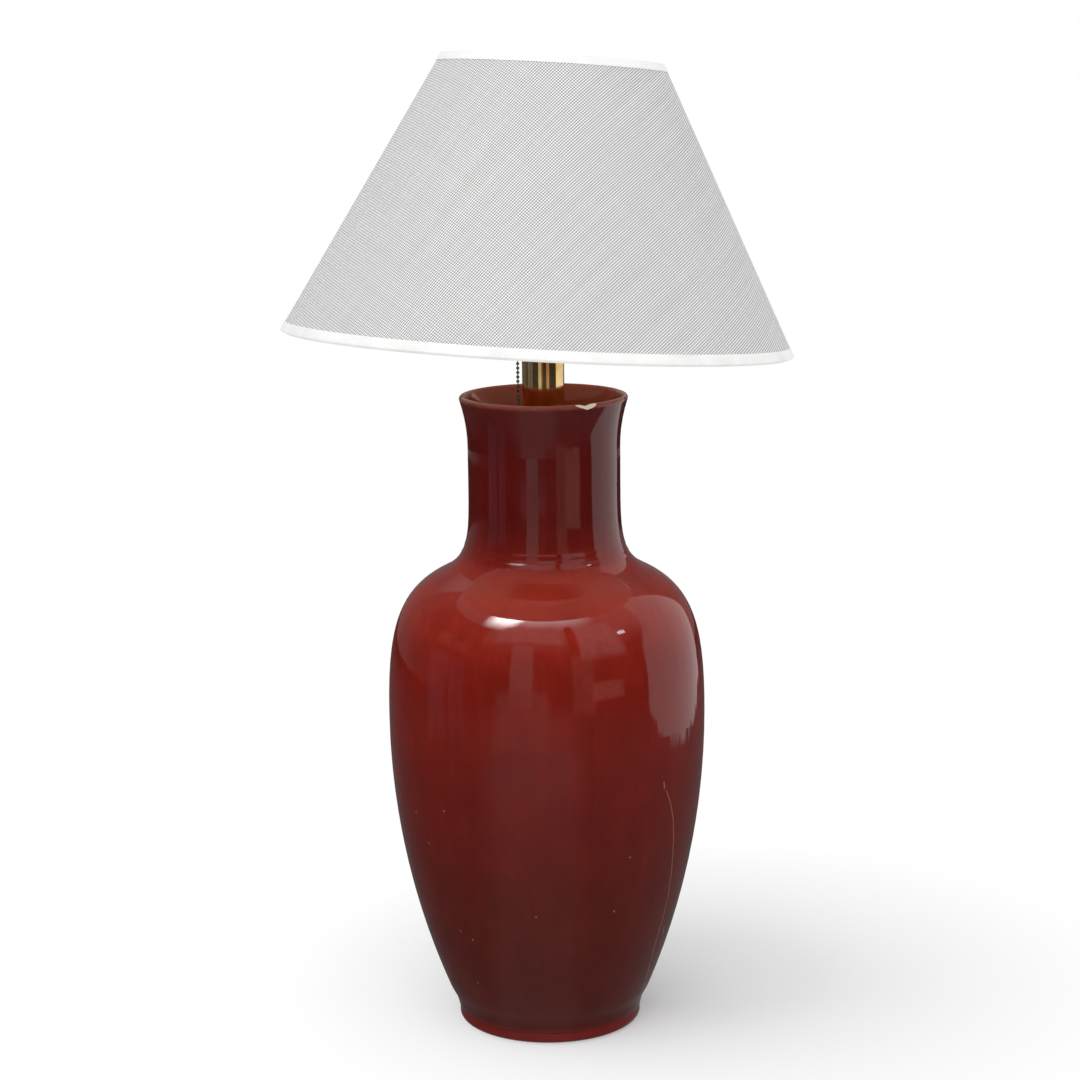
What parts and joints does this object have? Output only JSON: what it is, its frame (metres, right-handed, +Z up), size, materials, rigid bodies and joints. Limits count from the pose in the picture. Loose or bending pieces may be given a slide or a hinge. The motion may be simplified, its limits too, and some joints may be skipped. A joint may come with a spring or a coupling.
{
  "type": "vase lamp",
  "caption": "Tall glazed vase table lamp with a brass stem, pull chain switch, harp and tilted empire shade of woven cloth.",
  "frame": {"origin": "on the table, under the middle of the vase's foot", "axes": "+Z up along the vase, -Y towards the viewer, +X to the viewer's right"},
  "size_m": [0.4577, 0.4579, 0.8935],
  "materials": {
    "felt": "dark pressed felt",
    "glaze": "high gloss oxblood glaze",
    "black_plastic": "moulded, satin",
    "rubber": "moulded, matt",
    "steel": "zinc plated",
    "brass_plate": "brass plated, bright",
    "polished_brass": "polished, lacquered",
    "socket_brass": "drawn brass, bright",
    "bare_brass": "bare brass",
    "cardboard": "fibre insulating tube",
    "phenolic": "moulded phenolic",
    "dark_chain": "blackened beads",
    "opal_glass": "opal white",
    "clear_glass": "clear",
    "black_glass": "black insulating glass",
    "bulb_metal": "rolled thread, satin",
    "filament": "drawn wire",
    "shade_cloth": "white threads, open weave over grey",
    "shade_lining": "white styrene, satin",
    "white_wire": "white enamel",
    "white_tape": "white cloth tape"
  },
  "bodies": {
    "lamp_base": {"base_felt": "felt", "vase": "glaze", "cord_bush": "black_plastic", "base_gasket": "rubber", "base_washer": "steel", "base_nut": "steel", "threaded_rod": "steel", "neck_cap": "brass_plate", "neck_seal": "rubber", "neck_nut": "steel", "stem_sleeve": "polished_brass", "check_ring": "polished_brass", "harp_saddle": "brass_plate", "socket_cap": "socket_brass", "socket_shell": "socket_brass", "socket_liner": "cardboard", "socket_body": "phenolic", "screw_shell": "bare_brass", "centre_contact": "bare_brass", "terminal_screws": "bare_brass", "lever_pin": "steel", "chain_guide": "socket_brass"},
    "chain": {"pull_chain": "dark_chain", "chain_bell": "dark_chain"},
    "lever": {"pull_lever": "steel", "return_spring": "steel"},
    "rotor": {"switch_rotor": "phenolic"},
    "bulb_foot": {"bulb_tip": "bulb_metal"},
    "bulb": {"bulb_glass": "opal_glass", "bulb_cap": "bulb_metal", "bulb_insulator": "black_glass", "bulb_stem": "clear_glass", "bulb_filament": "filament"},
    "harp_loop": {"harp": "brass_plate", "harp_stud": "brass_plate"},
    "back_ferrule": {"ferrule_back": "brass_plate"},
    "front_ferrule": {"ferrule_front": "brass_plate"},
    "shade": {"shade_cover": "shade_cloth", "shade_liner": "shade_lining", "shade_fitter": "white_wire", "shade_bottom_ring": "white_wire", "shade_top_tape": "white_tape", "shade_bottom_tape": "white_tape"},
    "finial_bush": {"finial_nut": "bare_brass"},
    "finial_knob": {"finial": "brass_plate"}
  },
  "joints": [
    {"name": "chain_pull", "type": "slide", "parent": "lamp_base", "child": "chain", "axis": [0, 0, -1], "range_m": [0, 0.00786], "stiffness_N_per_m": 400, "springref_m": -0.004},
    {"name": "lever_swing", "type": "hinge", "parent": "lamp_base", "child": "lever", "pos_m": [-0.00698, 0, 0.707], "axis": [0, -1, 0], "range_deg": [0, 28]},
    {"name": "rotor_turn", "type": "hinge", "parent": "lamp_base", "child": "rotor", "pos_m": [-0.00698, 0, 0.707], "axis": [0, -1, 0], "range_deg": [0, 90]},
    {"name": "bulb_lift", "type": "slide", "parent": "lamp_base", "child": "bulb_foot", "axis": [0, 0, 1], "range_m": [0, 0.02]},
    {"name": "bulb_turn", "type": "hinge", "parent": "bulb_foot", "child": "bulb", "pos_m": [0, 0, 0.7216], "axis": [0, 0, 1], "range_deg": [0, 1980]},
    {"name": "harp_lean", "type": "hinge", "parent": "lamp_base", "child": "harp_loop", "pos_m": [0, 0, 0.711], "axis": [-0.6613, 0.7501, 0], "range_deg": [-10, 0]},
    {"name": "ferrule_back_slide", "type": "slide", "parent": "harp_loop", "child": "back_ferrule", "axis": [0.0654, 0.0576, 0.9962], "range_m": [0, 0.014]},
    {"name": "ferrule_front_slide", "type": "slide", "parent": "harp_loop", "child": "front_ferrule", "axis": [0.0654, 0.0576, 0.9962], "range_m": [0, 0.014]},
    {"name": "shade_turn", "type": "hinge", "parent": "harp_loop", "child": "shade", "pos_m": [0, 0, 0.711], "axis": [0.0654, 0.0576, 0.9962], "continuous": true},
    {"name": "finial_lift", "type": "slide", "parent": "harp_loop", "child": "finial_bush", "axis": [0.0654, 0.0576, 0.9962], "range_m": [0, 0.01238]},
    {"name": "finial_turn", "type": "hinge", "parent": "finial_bush", "child": "finial_knob", "pos_m": [0, 0, 0.711], "axis": [0.0654, 0.0576, 0.9962], "range_deg": [0, 4740]}
  ],
  "couplings": [
    {"joint": "lever_swing", "follows": "chain_pull", "rad_per_m": 62.159},
    {"joint": "rotor_turn", "follows": "chain_pull", "rad_per_m": 199.8},
    {"joint": "bulb_lift", "follows": "bulb_turn", "m_per_rad": 0.00057773},
    {"joint": "finial_turn", "follows": "finial_lift", "rad_per_m": 6679}
  ]
}
